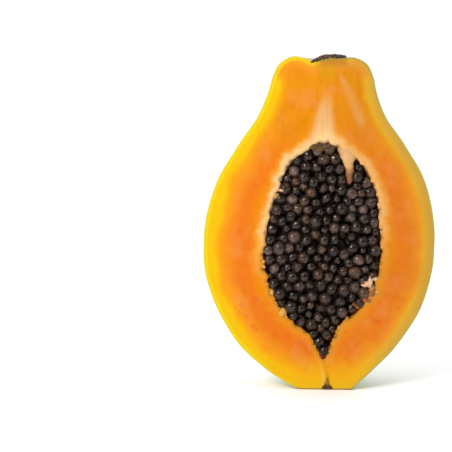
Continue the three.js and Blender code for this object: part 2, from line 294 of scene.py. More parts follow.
def loft(rows, angles, lobed=False):
    """The surface through the rows: a grid of points, from the right of the cut round to its left"""
    left_x, left_z, right_x, right_z, back_y, back_z, share = (column[:, None] for column in rows.T)
    cos, sin = np.cos(angles)[None], np.sin(angles)[None]
    lobe = (LOBE_HEIGHT + SHOULDER_LOBE_GAIN * share**2) if lobed else 0
    bulge = 1 + lobe * sin**2 * np.cos(LOBES * (angles - math.pi / 2))
    x = (left_x + right_x) / 2 + (right_x - left_x) / 2 * cos * bulge
    y = back_y * sin * bulge
    z = back_z * sin**2 + np.where(cos > 0, right_z, left_z) * cos**2
    return np.stack([x, y, z], axis=-1)


def outward(grid):
    """Unit normals of a grid of points, away from the fruit's axis"""
    normal = np.cross(np.gradient(grid, axis=1), np.gradient(grid, axis=0))
    return normal / np.maximum(np.linalg.norm(normal, axis=2, keepdims=True), 1e-9)


def noise_at(points, scale, seed=0.0):
    """Smooth noise from about -1 to 1 at each point, with features of the given size in millimetres"""
    flat = points.reshape(-1, 3) / scale + seed
    values = [noise.noise(Vector(p)) for p in flat]
    return np.array(values).reshape(points.shape[:-1])


def noises_at(points, layers):
    """The sum of several noises at each point, given as their heights and sizes"""
    return sum(height * noise_at(points, size) for height, size in layers)


def lumpy(points, share, size, seed=0.0):
    """The points moved towards their middle and away from it by noise"""
    return points * (1 + share * noise_at(points, size, seed))[:, None]


def numbered(grid, first=0, pointed=True):
    """Vertex numbers for a grid of points. A pointed grid's first and last rows are one vertex each."""
    index = np.arange(grid[..., 0].size).reshape(grid.shape[:2]) + first
    if pointed:
        index[0] = index[0, 0]
        index[-1] = index[-1, 0]
    return index


def grid_faces(index, flip=False):
    """Faces between the rows and columns of a grid of vertex numbers, triangles where two are the same"""
    faces = []
    for low, high in zip(index, index[1:]):
        for a, b, c, d in zip(low, low[1:], high[1:], high):
            corners = list(dict.fromkeys((a, b, c, d)))
            if len(corners) > 2:
                faces.append(corners[::-1] if flip else corners)
    return faces


def loop(index):
    """The vertex numbers round the edge of a half shell, with the first one again at the end"""
    return np.concatenate([index[:, 0], index[-2:0:-1, -1], index[:1, 0]])


def joined(shapes, faces):
    """The points and faces of several shapes that have the same faces"""
    numbers = [faces + len(shape) * number for number, shape in enumerate(shapes)]
    return np.concatenate(shapes), np.concatenate(numbers).tolist()


def add(name, data):
    """A new object in the scene"""
    made = bpy.data.objects.new(name, data)
    bpy.context.scene.collection.objects.link(made)
    return made


def mesh_piece(name, points, faces, material, **attributes):
    """A mesh object from points in millimetres, with vectors kept on its points"""
    used = sorted({corner for face in faces for corner in face})
    number = {old: new for new, old in enumerate(used)}
    points = np.asarray(points).reshape(-1, 3)[used]
    faces = [[number[corner] for corner in face] for face in faces]
    mesh = bpy.data.meshes.new(name)
    mesh.from_pydata(((points + (0, CUT_Y, 0)) * MM).tolist(), [], faces)
    for key, values in attributes.items():
        values = np.asarray(values, np.float32).reshape(-1, 3)[used]
        mesh.attributes.new(key, "FLOAT_VECTOR", "POINT").data.foreach_set("vector", values.ravel())
    mesh.polygons.foreach_set("use_smooth", [True] * len(mesh.polygons))
    mesh.materials.append(material)
    mesh.update()
    mesh.set_sharp_from_angle(angle=CREASE)
    piece = add(name, mesh)
    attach(piece, "root")
    return piece


class Shader:
    """A new material and short calls for the nodes that it is made of"""

    def __init__(self, name, **constants):
        self.material = bpy.data.materials.new(name)
        self.material.use_nodes = True
        self.nodes = self.material.node_tree.nodes
        self.links = self.material.node_tree.links
        self.surface = self.nodes["Principled BSDF"]
        self.colour = None
        for socket, value in constants.items():
            self.surface.inputs[socket.replace("_", " ")].default_value = value

    def put(self, value, socket):
        """Link a node's output to a socket, or set the socket to a constant"""
        if isinstance(value, bpy.types.NodeSocket):
            self.links.new(value, socket)
        else:
            socket.default_value = value

    def node(self, kind, *values, **settings):
        """A new node with its first sockets fed in order"""
        made = self.nodes.new(kind)
        for key, value in settings.items():
            setattr(made, key, value)
        for socket, value in zip(made.inputs, values):
            if value is not None:
                self.put(value, socket)
        return made

    def math(self, operation, *values):
        """One sum, product or the like"""
        return self.node("ShaderNodeMath", *values, operation=operation).outputs[0]

    def step(self, value, low, high, to_low=0.0, to_high=1.0):
        """A smooth step from one value to another"""
        values = (value, low, high, to_low, to_high)
        return self.node("ShaderNodeMapRange", *values, interpolation_type="SMOOTHSTEP").outputs[0]

    def mix(self, below, above, share, *shares, blend="MIX"):
        """A colour laid over another, as strongly as the product of the shares"""
        for other in shares:
            share = self.math("MULTIPLY", share, other)
        made = self.node("ShaderNodeMix", data_type="RGBA", blend_type=blend)
        self.put(share, made.inputs["Factor"])
        self.put(below, made.inputs[6])
        self.put(above, made.inputs[7])
        return made.outputs[2]

    def lay(self, above, *shares, **settings):
        """Lay a colour over the material's colour so far"""
        self.colour = self.mix(self.colour, above, *shares, **settings)

    def near(self, value, middle, *step):
        """A smooth step of the distance from the value to a middle"""
        away = self.math("ABSOLUTE", self.math("SUBTRACT", value, middle))
        return self.step(away, *step)

    def ramp(self, value, stops):
        """A colour for each value between the stops: pairs of place and colour"""
        made = self.node("ShaderNodeValToRGB", value)
        elements = made.color_ramp.elements
        while len(elements) < len(stops):
            elements.new(0.5)
        for element, (place, colour) in zip(elements, stops):
            element.position = place
            element.color = colour
        return made.outputs[0]

    def attribute(self, name):
        """A vector that the mesh keeps on its points"""
        return self.node("ShaderNodeAttribute", attribute_name=name).outputs["Vector"]

    def split(self, vector):
        """The three parts of a vector"""
        return self.node("ShaderNodeSeparateXYZ", vector).outputs[:]

    def stretched(self, vector, *scale):
        """A vector with its parts scaled"""
        return self.node("ShaderNodeMapping", vector, None, None, scale).outputs[0]

    def place(self):
        """The point on the object in millimetres"""
        here = self.node("ShaderNodeTexCoord").outputs["Object"]
        return self.stretched(here, 1 / MM, 1 / MM, 1 / MM)

    def noise(self, vector, size, *detail):
        """Noise from 0 to 1, with features of the given size in millimetres, its detail and roughness"""
        return self.node("ShaderNodeTexNoise", vector, None, 1 / size, *detail).outputs[0]

    def cells(self, vector, size, feature="F1"):
        """Distances in a pattern of cells of the given size in millimetres"""
        made = self.node("ShaderNodeTexVoronoi", vector, None, 1 / size, feature=feature)
        return made.outputs["Distance"]

    def bump(self, height, distance, strength=1.0):
        """Small relief, with its depth in millimetres"""
        made = self.node("ShaderNodeBump")
        made.inputs["Strength"].default_value = strength
        made.inputs["Distance"].default_value = distance * MM
        self.put(height, made.inputs["Height"])
        self.links.new(made.outputs[0], self.surface.inputs["Normal"])

    def use(self, **sockets):
        """The finished material, with its colour and these sockets of its surface fed"""
        self.put(self.colour, self.surface.inputs["Base Color"])
        for socket, value in sockets.items():
            self.put(value, self.surface.inputs[socket.replace("_", " ")])
        return self.material


def wall_at(points, outline):
    """Unit vectors away from an outline and distances to it, negative outside the outline"""
    best = np.full(len(points), np.inf)
    nearest = np.zeros_like(points)
    inside = np.zeros(len(points), bool)
    for a, b in zip(outline, np.roll(outline, -1, axis=0)):
        along = np.clip((points - a) @ (b - a) / ((b - a) @ (b - a)), 0, 1)[:, None]
        place = a + along * (b - a)
        distance = np.linalg.norm(points - place, axis=1)
        closer = distance < best
        best = np.where(closer, distance, best)
        nearest[closer] = place[closer]
        spans = (a[1] > points[:, 1]) != (b[1] > points[:, 1])
        if a[1] != b[1]:
            inside ^= spans & (points[:, 0] < (b[0] - a[0]) * (points[:, 1] - a[1]) / (b[1] - a[1]) + a[0])
    side = np.where(inside, 1, -1)
    return (points - nearest) * (side / best)[:, None], side * best


# Skin

DARK_GREEN = shown(82, 126, 16)
GREEN = shown(126, 166, 20)
LIME = shown(182, 200, 24)
YELLOW_SKIN = shown(238, 208, 16)
STEM_GREEN = shown(120, 132, 60)
SPECK = shown(206, 214, 130)
OLIVE_SHADED_EDGE = shown(178, 170, 84)
NOTCH_SHADE = shown(80, 50, 4)
FOOT_CONTACT_SHADE = shown(140, 106, 44)


def skin_material():
    """Green skin that ripens to yellow, streaked and finely speckled"""
    skin = Shader("skin", Roughness=0.4, Specular_IOR_Level=0.35, Coat_Weight=0.08, Coat_Roughness=0.2)
    step, lay = skin.step, skin.lay
    place = skin.place()
    x, y, z = skin.split(place)
    broad = skin.noise(skin.stretched(place, 1, 1, 0.6), 60, 1.5)
    streak = skin.noise(skin.stretched(place, 1, 1, 0.16), 5, 3, 0.6)
    fine = skin.noise(place, 1.3, 3)
    ripe = skin.math("ADD", step(broad, 0.3, 0.8), step(z, 95, -10, 0, 0.3))
    ripe = skin.math("ADD", ripe, step(streak, 0.2, 0.8, -0.12, 0.12))
    skin.colour = skin.ramp(ripe, [(0.05, DARK_GREEN), (0.35, GREEN), (0.7, LIME), (1.0, YELLOW_SKIN)])
    lay(LIME, step(fine, 0.35, 0.75, 0, 0.18))
    lay(SPECK, step(skin.cells(place, 4.6), 0.13, 0.07, 0, 0.55))
    lay(STEM_GREEN, step(z, 148, 157, 0, 0.6))
    # Close behind the cut the skin is yellow on the left and olive on the right: partly the skin's own
    # colour, partly painted light on the left and painted shade on the right
    near_cut = step(y, CUT_Y + 22, CUT_Y - 1)
    lay(YELLOW_SKIN, near_cut, step(x, 5, -14))
    on_cut = step(y, CUT_Y + 0.6, CUT_Y + 0.2)
    lay(OLIVE_SHADED_EDGE, on_cut, step(x, 0, 12, 0, 0.8))
    # Painted contact shadow along the foot, where it stands on the floor
    lay(FOOT_CONTACT_SHADE, step(z, 1.6, 0.3, 0, 0.7))
    # Painted shade in the notch of the pit at the blossom end
    lay(NOTCH_SHADE, skin.near(x, PIT_X, 3.2, 2.0, 0, 0.85), step(z, 2, 1))
    skin.bump(skin.math("ADD", fine, skin.math("MULTIPLY", streak, 2.0)), 0.12)
    return skin.use()


def make_skin(outer):
    """A thin closed shell with its edge in the cut face"""
    outer = outer + noises_at(outer, SKIN_NOISE)[..., None] * outward(outer)
    outer[:, (0, -1), 1] = 0
    inner = outer - SKIN_THICKNESS * outward(outer)
    inner[:, (0, -1), 1] = 0
    inner[..., 2] = np.maximum(inner[..., 2], SKIN_THICKNESS / 2)
    outer[..., 2] = np.maximum(outer[..., 2], 0)
    index = numbered(outer)
    inner_index = index + index.size
    faces = grid_faces(index) + grid_faces(inner_index, flip=True)
    for column, flip in ((0, True), (-1, False)):
        faces += grid_faces(np.column_stack([index[:, column], inner_index[:, column]]), flip)
    points = np.concatenate([outer.reshape(-1, 3), inner.reshape(-1, 3)])
    return mesh_piece("skin", points, faces, skin_material())


# Flesh

LEFT_EDGE_GLOW = shown(246, 224, 24)
GOLD = shown(249, 198, 8)
AMBER = shown(254, 168, 20)
ORANGE = shown(245, 146, 30)
DEEP = shown(241, 126, 24)
INNER = shown(242, 142, 6)
NECK = shown(236, 151, 0)
RIGHT_EDGE_SHADE = shown(211, 160, 76)
LINING = shown(252, 178, 62)
CREAM = shown(252, 213, 152)
PITH = shown(238, 190, 126)
PEACH = shown(240, 178, 104)
OLIVE = shown(222, 158, 14)
UNDER_CRUST = shown(196, 132, 48)
BLUSH = shown(232, 100, 22)
ROSE = shown(246, 152, 78)
BURNT = shown(226, 138, 0)
BASE = shown(253, 192, 14)
SEAM_DARK_AND_SHADE = shown(166, 112, 20)
SEAM_PALE_HIGHLIGHT = shown(255, 204, 104)
CAVITY_EDGE_SHADE = shown(212, 146, 44)
WALL_SHADE = shown(126, 46, 16)
RIGHT_HALF_SHADE = (0.9, 0.89, 0.82, 1)


def flesh_material():
    """Ripe flesh: layers from the skin inwards, blotches, a pale lining, and pith towards the stem"""
    flesh = Shader(
        "flesh", Roughness=0.42, Specular_IOR_Level=0.06, Subsurface_Weight=0.15, Subsurface_Scale=0.004,
        Subsurface_Radius=(1.0, 0.45, 0.15),
    )
    step, lay = flesh.step, flesh.lay
    place = flesh.place()
    x, y, z = flesh.split(place)
    flow = flesh.attribute("flow")
    _, rim, core = flesh.split(flow)
    column, wedge, streak = flesh.split(flesh.attribute("marks"))
    mottle = flesh.math("SUBTRACT", flesh.noise(place, 16, 3, 0.55), 0.5)
    ragged = flesh.math("SUBTRACT", flesh.noise(place, 3.0, 3, 0.6), 0.5)
    strand = flesh.noise(flesh.stretched(flow, 1.0, 0.12, 0), 2.6, 3, 0.6)
    right = step(x, -30, 42)
    # Layers from the skin inwards, their edges moved about by the noise
    depth = flesh.math("MULTIPLY_ADD", mottle, 11.0, rim)
    depth = flesh.math("MULTIPLY_ADD", right, step(rim, 2, 8, 0, 3.5), depth)
    depth = flesh.math("ADD", depth, step(z, 143, 153, 0, 6))
    depth = flesh.math("DIVIDE", depth, 26)
    layers = [(0.16, GOLD), (0.27, AMBER), (0.42, ORANGE), (0.58, DEEP), (0.76, DEEP), (0.9, INNER)]
    flesh.colour = flesh.ramp(depth, layers)
    lay(NECK, step(z, 100, 135, 0, 0.75), step(rim, 3, 8))
    edge = flesh.math("MULTIPLY_ADD", ragged, 1.2, rim)
    # Painted shade: a duller tan band along the right edge
    lay(RIGHT_EDGE_SHADE, step(edge, 7.2, 1.0, 0.12, 0.8), right)
    # Painted glow of light along the left edge
    lay(LEFT_EDGE_GLOW, step(edge, 2.2, 0.6, 0, 0.9), step(x, 20, -30))
    lay(AMBER, step(strand, 0.5, 0.75, 0, 0.2))
    # Clouds, burnt blotches towards the stem, blushed spots low down, and a rosy haze
    clouds = flesh.noise(flesh.stretched(place, 1, 1, 0.6), 11, 2)
    lay(INNER, step(clouds, 0.45, 0.7, 0, 0.3), step(rim, 4, 9))
    burnt = step(flesh.noise(flesh.stretched(place, 1, 1, 0.6), 6, 2), 0.48, 0.64, 0, 0.65)
    lay(BURNT, burnt, step(z, 108, 128), step(rim, 3, 8))
    spots = step(flesh.noise(place, 6.5, 3, 0.65), 0.52, 0.7, 0, 0.55)
    lay(BLUSH, spots, step(z, 66, 42), step(rim, 5, 9))
    haze = flesh.noise(flesh.stretched(place, 1, 1, 0.8), 8, 2)
    lay(ROSE, step(haze, 0.5, 0.68, 0, 0.35), step(rim, 5, 11))
    lay(BASE, step(z, 20, 6, 0, 0.7))
    # Pale lining round the seeds, creamier towards the stem, and the pale strands that run up from it
    lining = flesh.math("MULTIPLY_ADD", ragged, 4.0, core)
    lining = flesh.math("MULTIPLY_ADD", mottle, 5.0, lining)
    lining = flesh.math("ADD", lining, step(z, 90, 35, -1.2, 1.1))
    strength = flesh.math("MULTIPLY", step(x, -6, 12, 1.0, 0.5), step(z, 42, 74, 0.4, 1.0))
    lay(LINING, step(lining, 5.0, 0.8, 0, 0.95), strength)
    lay(CREAM, step(lining, 3.2, 0.0), step(z, 55, 90, 0, 0.9), strength)
    # Painted shade along the cavity's edge low down, next to the seeds
    lay(CAVITY_EDGE_SHADE, step(core, 2.8, 0.5, 0, 0.6), step(z, 76, 58))
    lay(PEACH, streak, step(mottle, -0.2, 0.1, 0.3, 0.7))
    pith = flesh.mix(PITH, CREAM, step(z, 131, 118))
    lay(pith, column, step(strand, 0.25, 0.65, 0.5, 1), step(z, 146, 126, 0.4, 0.95))
    lay(OLIVE, wedge, 0.7)
    lay(UNDER_CRUST, flesh.near(x, 2.6, 7.5, 5), step(z, 151.5, 155.5, 0, 0.8))
    # The cavity's wall is painted darker behind its edge: painted shade inside the cavity, over the wall's
    # own red
    lay(WALL_SHADE, step(rim, FAR - 0.5, FAR - 0.1), step(y, CUT_Y + 1.5, CUT_Y + 4.5, 0, 0.9))
    # A fine dark seam with a pale edge, from the cavity's tip to the blossom end. Its pale edge on the left
    # is painted highlight on the seam's ridge, and its dark line is partly the seam's own olive-brown and
    # partly painted shade on the ridge's right side.
    beside = flesh.math("SUBTRACT", x, step(z, 5, 16, 0.8, -1.0))
    below = flesh.math("MULTIPLY", step(z, 15.6, 14), step(z, 11, 5, 0.2, 1))
    lay(SEAM_PALE_HIGHLIGHT, flesh.near(beside, -2, 1.3, 0.2, 0, 0.6), below)
    lay(SEAM_DARK_AND_SHADE, flesh.near(beside, 0, 1.3, 0.2, 0, 0.55), below)
    # The right half is painted a little duller, as painted shade
    lay(RIGHT_HALF_SHADE, step(x, -4, 16), step(z, 24, 60, 0.2, 1), blend="MULTIPLY")
    # The pit at the blossom end is painted dark inside: painted shade in the hollow
    lay(NOTCH_SHADE, flesh.near(x, PIT_X, 3.4, 2.4), step(z, 2.6, 1.6), step(y, CUT_Y + 0.2, CUT_Y + 0.7))
    grain = flesh.noise(place, 0.9, 2)
    flesh.bump(flesh.math("MULTIPLY_ADD", strand, 1.5, grain), 0.22, 0.5)
    return flesh.use()


def marks_at(x, z):
    """How strongly the column of pith, the wedge and the streak show at points of the cut face"""
    column = smooth(1.35, 0.45, np.abs(x - np.interp(z, *COLUMN_MIDDLES)) / np.interp(z, *COLUMN_WIDTHS))
    column *= smooth(147, 132, z) * smooth(112, 117, z)
    wedge_x, wedge_z = WEDGE_MIDDLE
    wedge = np.hypot((x - wedge_x) / np.interp(z, *WEDGE_WIDTHS), (z - wedge_z) / WEDGE_HEIGHT)
    streak = smooth(1.1, 0.1, np.abs(x - np.interp(z, *STREAK_MIDDLES)) / np.interp(z, *STREAK_WIDTHS))
    streak *= smooth(121, 130, z) * smooth(151, 146, z)
    return np.column_stack([column, smooth(1.15, 0.5, wedge), streak])


def make_flesh(outer, wall):
    """The body of the fruit: its outside just under the skin, the cut face, and the seed cavity's wall"""
    outer = outer - FLESH_INSET * outward(outer)
    outer[:, (0, -1), 1] = FACE_INSET
    outer[..., 2] = np.maximum(outer[..., 2], FLESH_INSET / 2)
    ragged = noises_at(wall, WALL_NOISE) * np.exp(-wall[..., 1] / RAGGED_DEPTH)
    lip = LIP * np.exp(-wall[..., 1] / LIP_DEPTH)
    wall = wall + ragged[..., None] * outward(wall)
    wall[..., 1] = np.maximum(wall[..., 1], 0) + lip
    index = numbered(outer)
    wall_index = numbered(wall, index.size)
    points = np.concatenate([outer.reshape(-1, 3), wall.reshape(-1, 3)])

    # The cut face runs between the two loops, with its steps closest at the skin and at the seeds
    rim_loop = loop(index)
    core_loop = loop(wall_index)
    t = np.linspace(0, 1, FACE_STEPS + 1)[1:-1]
    t = t - 0.06 * np.sin(2 * math.pi * t)
    rim_points = points[rim_loop]
    core_points = points[core_loop]
    face = rim_points[None] * (1 - t)[:, None, None] + core_points[None] * t[:, None, None]
    flat = face[..., (0, 2)]
    rim = np.stack([np.abs(wall_at(row, rim_points[:-1, (0, 2)])[1]) for row in flat])
    core = np.stack([np.abs(wall_at(row, core_points[:-1, (0, 2)])[1]) for row in flat])
    face[..., 1] = 0
    relief = noises_at(face, FACE_NOISE)
    roll = 1 - np.clip(core / LIP_WIDTH, 0, 1)
    pit = np.interp(face[..., 2], PIT_HEIGHTS, PIT_RADII, right=0) ** 2 - (face[..., 0] - PIT_X) ** 2
    face[..., 1] = FACE_INSET + LIP * (1 - np.sqrt(1 - roll**2)) + np.sqrt(np.maximum(pit, 0))
    face[..., 1] += np.maximum(relief + FACE_DEPTH, 0) * smooth(0, FACE_RIM, rim)
    face[:, -1] = face[:, 0]
    face_index = numbered(face[:, :-1], len(points), pointed=False)
    face_index = np.column_stack([face_index, face_index[:, :1]])
    faces = grid_faces(index) + grid_faces(wall_index, flip=True)
    faces += grid_faces(np.vstack([rim_loop, face_index, core_loop]), flip=True)
    all_points = np.concatenate([points, face[:, :-1].reshape(-1, 3)])

    # Numbers for the colours: along the outline, from the skin and from the seeds, all in millimetres
    count = len(points)
    along = np.concatenate([[0], np.cumsum(np.linalg.norm(np.diff(rim_points, axis=0), axis=1))])[:-1]
    flow = np.zeros((len(all_points), 3))
    flow[:index.size] = (0, 0, FAR)
    flow[index.size:count] = (0, FAR, 0)
    flow[rim_loop[:-1], 0] = along
    flow[core_loop[:-1], 0] = along
    flow[count:, 0] = np.tile(along, len(t))
    flow[count:, 1] = rim[:, :-1].ravel()
    flow[count:, 2] = core[:, :-1].ravel()
    marks = marks_at(all_points[:, 0], all_points[:, 2])
    marks[:count] = 0
    return mesh_piece("flesh", all_points, faces, flesh_material(), flow=flow, marks=marks)


# Seeds

CORE_BLACK = srgb(5, 2, 2)
CORE_BROWN = srgb(30, 14, 8)
COAT_GREY = srgb(160, 128, 115)
COAT_TAN = srgb(144, 106, 78)
COAT_DARK = srgb(58, 42, 34)
COAT_RED_AND_SHADE = srgb(52, 16, 10)
COAT_GLOSS = srgb(255, 238, 226)
COAT_SHEEN = srgb(218, 184, 162)
BACK_COAT_SHADE_DARK = srgb(14, 7, 5)
BACK_COAT_SHADE_BROWN = srgb(44, 27, 18)
BACK_COAT_GLOSS = srgb(255, 190, 150)
BED_DARK = srgb(16, 7, 5)
BED_BROWN = srgb(52, 24, 10)
BED_RED = srgb(112, 20, 8)


def make_random(state):
    """A repeatable random number generator, the same as in the frame's source"""
    def draw():
        nonlocal state
        state = (state + 0x6D2B79F5) & 0xFFFFFFFF
        t = ((state ^ (state >> 15)) * (1 | state)) & 0xFFFFFFFF
        t = ((t + ((t ^ (t >> 7)) * (61 | t))) & 0xFFFFFFFF) ^ t
        return ((t ^ (t >> 14)) & 0xFFFFFFFF) / 4294967296
    return draw


def cavity_outline(count):
    """The cavity's outline in the cut, with the given number of points up each side, and its back"""
    left, right, back = (spline(CAVITY[side], np.linspace(0, 1, count)) for side in CAVITY)
    return np.vstack([CAVITY_TIP, right, CAVITY_TOP, left[::-1]]), back


def place_seeds():
    """The seeds' middles, sizes and turns, in a jittered close packing, pushed apart until they fit"""
    random = make_random(SEED_DRAW)
    outline, back = cavity_outline(2 * len(CAVITY["left"]) - 1)
    lift = SEED_PITCH * math.sin(math.pi / 3)
    drawn = []
    for row in range(math.ceil((CAVITY_TOP[1] - CAVITY_TIP[1]) / lift)):
        for column in range(-SEED_COLUMNS, SEED_COLUMNS + 1):
            x = (column + row % 2 / 2) * SEED_PITCH + (random() - 0.5) * SEED_JITTER
            z = CAVITY_TIP[1] + row * lift + (random() - 0.5) * SEED_JITTER
            size = between(SEED_SMALLEST, SEED_LARGEST, random())
            depth = SEED_BACK - SEED_RADII[1] * size + SEED_DEPTH_SPREAD * random()
            drawn.append((x, z, depth, size, *(random() * math.pi for _ in range(3))))
    drawn = np.array(drawn)
    drawn = drawn[wall_at(drawn[:, :2], outline)[1] > 0]
    places, depth, size, turns = drawn[:, :2].copy(), drawn[:, 2], drawn[:, 3], drawn[:, 4:]
    deepest = back[np.argmin(np.abs(back[:, 1][None] - places[:, 1:2]), axis=1), 0]
    depth = np.minimum(depth, SEED_DEPTH_SHARE * deepest)
    room = SEED_RADII[1] * size + SEED_WALL_GAP
    least = SEED_APART * (size[:, None] + size) / 2
    beside = np.sqrt(np.maximum(0, least**2 - (depth[:, None] - depth) ** 2))
    pith = np.array(FLAP, float)
    for _ in range(RELAX_STEPS):
        offset = places[:, None] - places[None]
        apart = np.linalg.norm(offset, axis=2)
        np.fill_diagonal(apart, np.inf)
        push = np.clip(beside - apart, 0, None) / 2
        move = (offset * (push / apart)[..., None]).sum(axis=1)
        away, distance = wall_at(places, outline)
        move += away * np.clip(room - distance, 0, None)[:, None]
        away, distance = wall_at(places, pith)
        move -= away * np.clip(room + FLAP_BEVEL + distance, 0, None)[:, None]
        for x, z, radius in NUBS:
            offset = places - (x, z)
            apart = np.linalg.norm(offset, axis=1)
            move += offset * (np.clip(room + radius - NUB_OVERLAP - apart, 0, None) / apart)[:, None]
        places += RELAX_SHARE * move
    kept = wall_at(places, outline)[1] > SEED_RADII[1] * size * SEED_WALL_SHARE
    middles = np.column_stack([places[:, 0], depth, places[:, 1]])
    return middles[kept], size[kept], turns[kept]


def round_mesh(steps):
    """The points and faces of a ball of radius 1, from an icosahedron split a few times"""
    ball = bmesh.new()
    bmesh.ops.create_icosphere(ball, subdivisions=steps, radius=1)
    points = np.array([v.co[:] for v in ball.verts])
    faces = np.array([[v.index for v in f.verts] for f in ball.faces])
    ball.free()
    return points, faces


def turned(points, turn):
    """The points turned about X, then Y, then Z"""
    for axis, angle in enumerate(turn):
        a, b = (axis + 1) % 3, (axis + 2) % 3
        cos, sin = math.cos(angle), math.sin(angle)
        first, second = points[:, a], points[:, b]
        points = points.copy()
        points[:, a] = first * cos - second * sin
        points[:, b] = first * sin + second * cos
    return points


def make_seeds(name, seeds, scale, wrinkle, material):
    """One mesh with every seed, each an egg shape, wrinkled by noise, with its own numbers from 0 to 1"""
    ball, ball_faces = round_mesh(LUMP_SPLITS)
    eggs, own = [], []
    for number, (middle, size, turn) in enumerate(zip(*seeds)):
        egg = lumpy(ball * SEED_RADII * size * scale, wrinkle, WRINKLE_SIZE, seed=number * 3.1)
        eggs.append(turned(egg, turn) + middle)
        own += [turn / math.pi] * len(ball)
    return mesh_piece(name, *joined(eggs, ball_faces), material, own=own)


def back_seeds():
    """More seeds in the gaps of the first layer, further back"""
    random = make_random(SEED_DRAW + 1)
    outline, _ = cavity_outline(OUTLINE_POINTS)
    placed = []
    for _ in range(BACK_SEED_TRIES):
        x = between(*BACK_SEED_X, random())
        z = between(*BACK_SEED_Z, random())
        depth = BACK_SEED_DEPTH + BACK_SEED_DEPTH_SPREAD * (random() - 0.5)
        size = between(*BACK_SEED_SIZES, random())
        turn = [random() * math.pi for _ in range(3)]
        here = np.array([x, depth, z])
        if wall_at(here[None, (0, 2)], outline)[1][0] < BACK_SEED_WALL_GAP:
            continue
        if all(np.linalg.norm(here - other) > BACK_SEED_APART for other, _, _ in placed):
            placed.append((here, size, turn))
    return [np.array(column) for column in zip(*placed[:BACK_SEEDS])]


def core_material():
    """The dark seed inside its coat"""
    core = Shader("seed_core", Roughness=0.3, Specular_IOR_Level=0.3)
    place = core.place()
    core.colour = core.ramp(core.noise(place, 1.2, 3), [(0.3, CORE_BLACK), (0.7, CORE_BROWN)])
    core.bump(core.noise(place, 0.5, 2), 0.15)
    return core.use()


def coat_material():
    """The wet coat of a seed: clear or milky by the seed's own number, clearer and so darker deeper behind
    the cut as painted shade, and redder low in the cavity, partly painted shade
    """
    coat = Shader(
        "seed_coat", Roughness=0.1, IOR=1.45, Specular_Tint=COAT_GLOSS, Sheen_Weight=0.22,
        Sheen_Roughness=0.3, Sheen_Tint=COAT_SHEEN,
    )
    place = coat.place()
    _, y, z = coat.split(place)
    own, shade, _ = coat.split(coat.attribute("own"))
    patches = coat.noise(place, 1.8, 2)
    clear = coat.step(own, 0.05, 0.6, 0.77, 1.0)
    clear = coat.math("ADD", clear, coat.step(patches, 0.35, 0.65, -0.12, 0.06))
    # Painted shade: coats deeper behind the cut are clearer, so they show darker
    clear = coat.math("ADD", clear, coat.step(y, CUT_Y + 1.5, CUT_Y + 4.5, 0, 0.3))
    clear = coat.math("MINIMUM", clear, 1)
    coat.colour = coat.mix(COAT_GREY, COAT_TAN, coat.step(shade, 0.35, 0.65))
    coat.lay(COAT_DARK, coat.step(coat.noise(place, 13, 1), 0.44, 0.58, 0, 0.75))
    # Dark red near the cavity's tip, partly painted shade in the narrow tip
    coat.lay(COAT_RED_AND_SHADE, coat.step(z, 26, 17, 0, 0.9))
    coat.bump(coat.noise(place, 0.8, 2), 0.08)
    return coat.use(Transmission_Weight=clear)


def shaded_back_coat_material():
    """The clear coat of a seed of the second layer, painted dark as painted shade: a shaded copy of the
    front seeds' coat
    """
    coat = Shader(
        "back_seed_coat", Roughness=0.3, IOR=1.33, Transmission_Weight=1.0, Specular_Tint=BACK_COAT_GLOSS,
    )
    place = coat.place()
    coat.colour = coat.ramp(coat.noise(place, 4, 2), [(0.35, BACK_COAT_SHADE_DARK), (0.65, BACK_COAT_SHADE_BROWN)])
    coat.bump(coat.noise(place, 0.8, 2), 0.08)
    return coat.use()


def bed_material():
    """Dark wet pulp, redder at the cavity's tip; its darkness is partly the pulp's own colour and partly
    painted shade deep among the seeds
    """
    bed = Shader("seed_bed", Roughness=0.45, Specular_IOR_Level=0.3)
    place = bed.place()
    z = bed.split(place)[2]
    bed.colour = bed.ramp(bed.noise(place, 2.5, 3), [(0.3, CORE_BLACK), (0.6, BED_DARK), (0.8, BED_BROWN)])
    bed.lay(BED_RED, bed.step(z, 27, 20, 0, 0.8))
    bed.bump(bed.noise(place, 1.5, 3), 0.4)
    return bed.use()


def make_bed(wall):
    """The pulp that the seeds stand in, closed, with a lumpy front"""
    inner = wall - BED_INSET * outward(wall)
    inner = inner[inner[:, inner.shape[1] // 2, 1] > BED_FRONT + BED_LEAST_DEPTH]
    inner[..., 1] = np.maximum(inner[..., 1], BED_FRONT)
    t = np.linspace(0, 1, BED_COLUMNS)[None, :, None]
    front = inner[:, :1] * (1 - t) + inner[:, -1:] * t
    front[:, 1:-1, 1] -= noises_at(front, BED_NOISE)[:, 1:-1]
    index = numbered(inner, pointed=False)
    front_index = numbered(front, index.size, pointed=False)
    front_index[:, 0] = index[:, 0]
    front_index[:, -1] = index[:, -1]
    faces = grid_faces(index) + grid_faces(front_index, flip=True)
    faces += [list(dict.fromkeys([*index[0][::-1], *front_index[0]]))]
    faces += [list(dict.fromkeys([*index[-1], *front_index[-1][::-1]]))]
    points = np.concatenate([inner.reshape(-1, 3), front.reshape(-1, 3)])
    return mesh_piece("seed_bed", points, faces, bed_material())


# Pulp that hangs among the seeds

